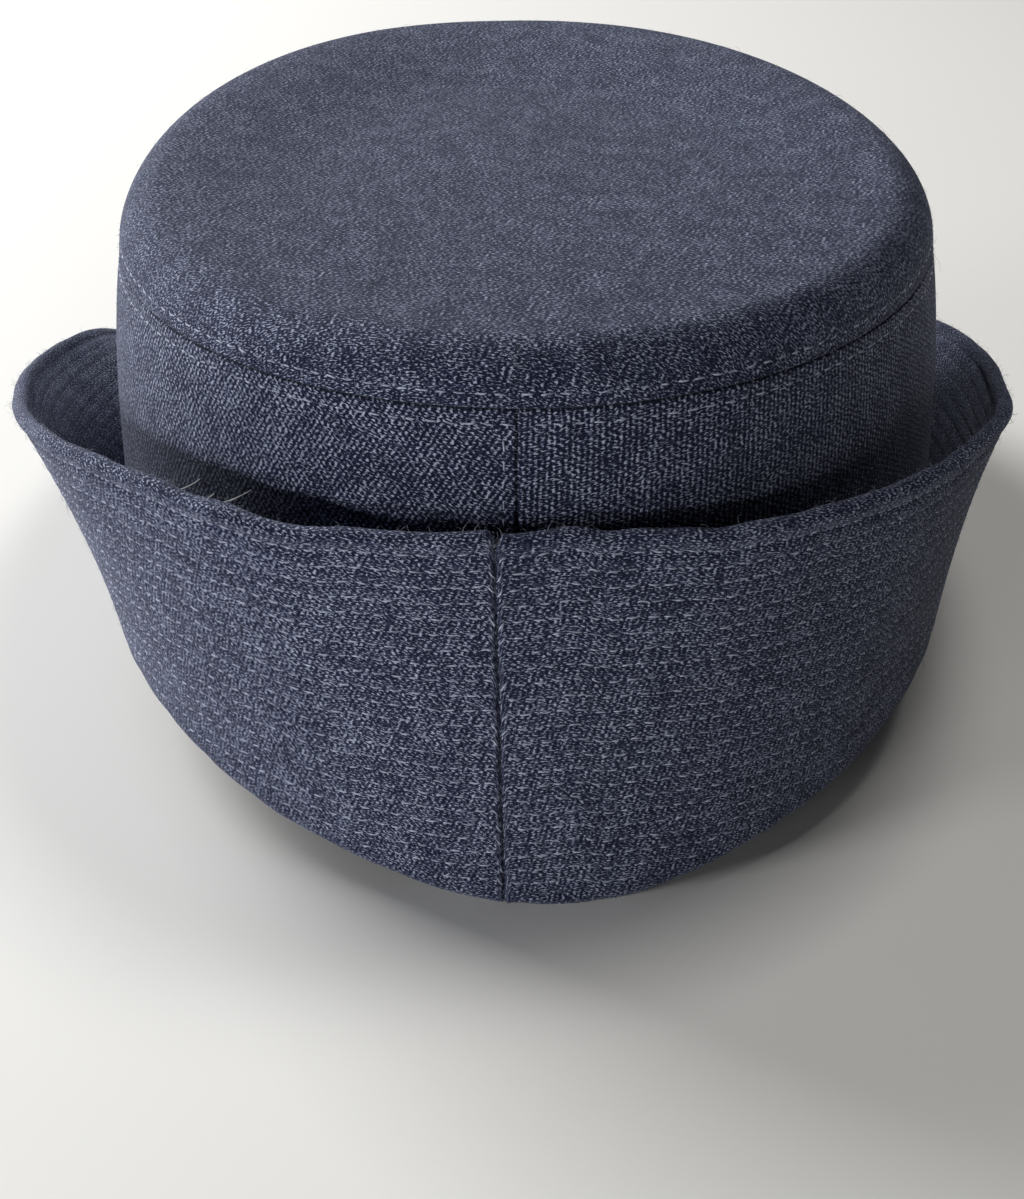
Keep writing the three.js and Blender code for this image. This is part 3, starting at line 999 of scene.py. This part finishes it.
# %% [markdown]
# Rows of the brim. They run parallel to its edge, from just under it down to the fold, on both faces. At
# the sides the brim is narrow, so the lower rows run out into the fold, as on a brim that was stitched
# flat before it was joined to the crown. There the stitches also sink deeper and show less.

# %% Sew the rows of the brim
FOLD_MARGIN, SHORTEST_RUN = 1.5, 4
SIDE_SINK, SIDE_FOCUS = 0.1, 4


def runs_of(mask):
    """Stretches of neighbouring columns that are all in the mask."""
    ends = np.flatnonzero(np.diff(np.concatenate([[0], mask.astype(int), [0]])))
    return [np.arange(a, b) for a, b in zip(ends[::2], ends[1::2]) if b - a >= SHORTEST_RUN]


def brim_rows(face, side):
    """Stitches on one face of the brim. side is 1 for the outer face, -1 for the inner one."""
    normals = side * outward_normals(face)
    lines = []
    for distance in np.arange(FIRST_ROW, brim_wall.max(), ROW_SPACING):
        for picked in runs_of(brim_wall - distance > FOLD_MARGIN):
            rows = FIRST_WALL + (1 - distance / brim_wall[picked]) * WALL_STEPS
            points, away = line_over(face, normals, rows, picked)
            points = points - away * SIDE_SINK * to_left[picked, None] ** SIDE_FOCUS
            lines.append(stitches_on((points, away)))
    return lines


for name, face, side, thread in (("brim_stitches_outside", brim_outside, 1, sewing_thread),
                                 ("brim_stitches_inside", brim_inside, -1, bobbin_thread)):
    stitched = sew(name, brim_rows(face, side), thread)
    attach(stitched, "root")

# %% [markdown]
# Rows of the crown. One row runs round the top piece just above the seam and one round the band just
# below it. A short column of stitches beside the band's back seam holds down the turned edge. Their lines
# are read off the finished grids by height, so they keep beside the seam where the crown leans.

# %% Sew the rows of the crown
CROWN_SINK = 0.07
COLUMN_FROM_SEAM, COLUMN_FOOT, COLUMN_POINTS = 2.2, 6.0, 60


def ring_line(grid, height):
    """A line round an outer face at one height, with the normals there."""
    picked = np.arange(grid.shape[1])
    rows = np.array([np.interp(height, grid[:, c, 2], np.arange(len(grid))) for c in picked])
    return line_over(grid, outward_normals(grid), rows, picked)


def seam_column(grid, along, offset, low, high):
    """A line up an outer face at a distance to the left of its seam, with the normals there."""
    at = np.interp(offset, along[:-1], np.arange(grid.shape[1]))
    left = int(at)
    f = at - left
    column, normal = (g[:, left] * (1 - f) + g[:, left + 1] * f for g in (grid, outward_normals(grid)))
    heights = np.linspace(low, high, COLUMN_POINTS)
    return points_at(heights, column[:, 2], column), points_at(heights, column[:, 2], normal)


shoulder_face = top_outside[ROLL_RINGS:OUTSIDE_RINGS[0]]
band_face = side_grid[len(FOOT_TURNS):WALL_RINGS - 1]
crown_lines = [
    ring_line(shoulder_face, top_foot + STITCH_FROM_SEAM),
    ring_line(band_face, side_row),
    seam_column(band_face, side_along, COLUMN_FROM_SEAM, COLUMN_FOOT, side_row),
]
crown_rows = [stitches_on(line, CROWN_SINK) for line in crown_lines]
crown_stitches = sew("crown_stitches", crown_rows, sewing_thread)
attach(crown_stitches, "root")

# %% [markdown]
# Tack threads. Three fine threads hold the turned-up brim to the band at the left, and show as pale
# lines over the dark gap. Their near-white colour is partly pale thread and partly painted light, which
# keeps them bright where they hang in shade. Curve objects would do, but tube meshes share their helper
# with the fibres below. Each thread sags a little, because it isn't pulled tight.

# %% Tie the tack threads
TACKS = [(48.2, 67.8, 40.8), (45.5, 66.6, 37.2), (39.0, 70.4, 35.1)]
TACK_RADIUS, TACK_SAG, TACK_STEPS, TACK_SIDES = 0.09, 0.35, 16, 6
STEEP = 0.9


def tubes(name, spines, radii, sides, material):
    """One mesh of closed tubes, from the points along each of them and the radii there."""
    count, steps = spines.shape[:2]
    heading = unit(np.gradient(spines, axis=1))
    helper = np.where(np.abs(heading[..., 2:]) < STEEP, [0, 0, 1.0], [1.0, 0, 0])
    level = unit(np.cross(heading, helper))
    points = rings_about(spines, radii, level, np.cross(level, heading), sides)
    each, here = points.shape[1], np.arange(sides)
    walls = np.concatenate([strip_faces(s, s + 1, sides) for s in range(steps - 1)])
    ends = np.stack([here[::-1], each - sides + here])
    faces = copies(walls, count, each) + copies(ends, count, each)
    print(name, "has", count, "strands")
    return new_piece(name, points, faces, material)


share = np.linspace(0, 1, TACK_STEPS)[:, None]
tack_lines = []
for band_degrees, band_height, edge_degrees in TACKS:
    start = band_point(band_degrees, band_height)
    end = points_at(edge_degrees, brim_degrees, brim_edge[EDGE_RINGS // 2])
    line = start + (end - start) * share
    # Four times this product is 0 at both ends and 1 half-way.
    line[:, 2] -= TACK_SAG * 4 * (share * (1 - share))[:, 0]
    tack_lines.append(line)
tack_radii = np.full((len(TACKS), TACK_STEPS), TACK_RADIUS)
# Near-white thread, partly painted light so that it stays bright in the shaded gap.
pale_thread = thread_material("tack thread", (0.80, 0.80, 0.82, 1), (0.96, 0.96, 0.97, 1))
tacks = tubes("tack_threads", np.stack(tack_lines), tack_radii, TACK_SIDES, pale_thread)
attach(tacks, "root")

# %% [markdown]
# Wool fuzz. Wool is never quite smooth: short fibres stand up along the brim's edge and lie loose on the
# faces. Blender's hair could grow them, but a few thousand thin tubes are quick to make and export as
# they are. Each starts at a random point of a face, leans away from it and bends.

# %% Grow the loose fibres
FIBRE_STEPS, FIBRE_RADIUS, FIBRE_TIP, FIBRE_SIDES = 5, 0.035, 0.35, 3
FIBRE_BEND, FIBRE_SPREAD, LEAST_LEAN, FIBRE_ARCH = 0.45, 0.35, 0.4, 2.2
LIP_ROWS = 3
lip = np.concatenate([brim_outside[-LIP_ROWS:], brim_edge, brim_inside[:-LIP_ROWS - 1:-1]])
# A face, how many fibres it has, how long they are and how far they stand up.
FIBRES = [
    (lip, 900, 0.9, 0.8),
    (brim_outside[FIRST_WALL:], 1100, 1.2, 0.35),
    (band_face, 500, 1.2, 0.35),
    (top_outside, 800, 1.2, 0.35),
]


def facing_out(grid):
    """The grid, with its rows turned round if its normals would point to the middle of the cap."""
    half = len(grid) // 2
    away = (normals_of(grid)[half] * (grid[half] - np.array(MIDDLE_OF_CAP) / MM)).sum()
    return grid if away > 0 else grid[::-1]


def fibres_on(face, count, length, lean):
    """Lines of fibres at random points of a face. lean is how far they stand up, from 0 to 1."""
    grid = facing_out(face)
    row = chance.integers(1, len(grid) - 1, count)
    column = chance.integers(0, grid.shape[1], count)
    foot, normal = grid[row, column], normals_of(grid)[row, column]
    along = chance.normal(0, 1, (count, 3))
    along = unit(along - (along * normal).sum(1, keepdims=True) * normal)
    bend = np.cross(along, normal) * chance.normal(0, FIBRE_BEND, (count, 1))
    reach = length * chance.lognormal(0, FIBRE_SPREAD, (count, 1, 1))
    rise = lean * chance.uniform(LEAST_LEAN, 1.0, (count, 1, 1))
    s = np.linspace(0, 1, FIBRE_STEPS)[None, :, None]
    path = along[:, None] * s + bend[:, None] * s ** 2 + normal[:, None] * rise * np.sin(s * FIBRE_ARCH)
    return foot[:, None] + reach * path


fibre_lines = np.concatenate([fibres_on(*given) for given in FIBRES])
fibre_radii = np.repeat(FIBRE_RADIUS * np.linspace(1, FIBRE_TIP, FIBRE_STEPS)[None], len(fibre_lines), 0)
loose_fibre = thread_material("loose fibre", (0.10, 0.11, 0.15, 1), (0.36, 0.38, 0.46, 1))
fuzz = tubes("wool_fuzz", fibre_lines, fibre_radii, FIBRE_SIDES, loose_fibre)
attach(fuzz, "root")
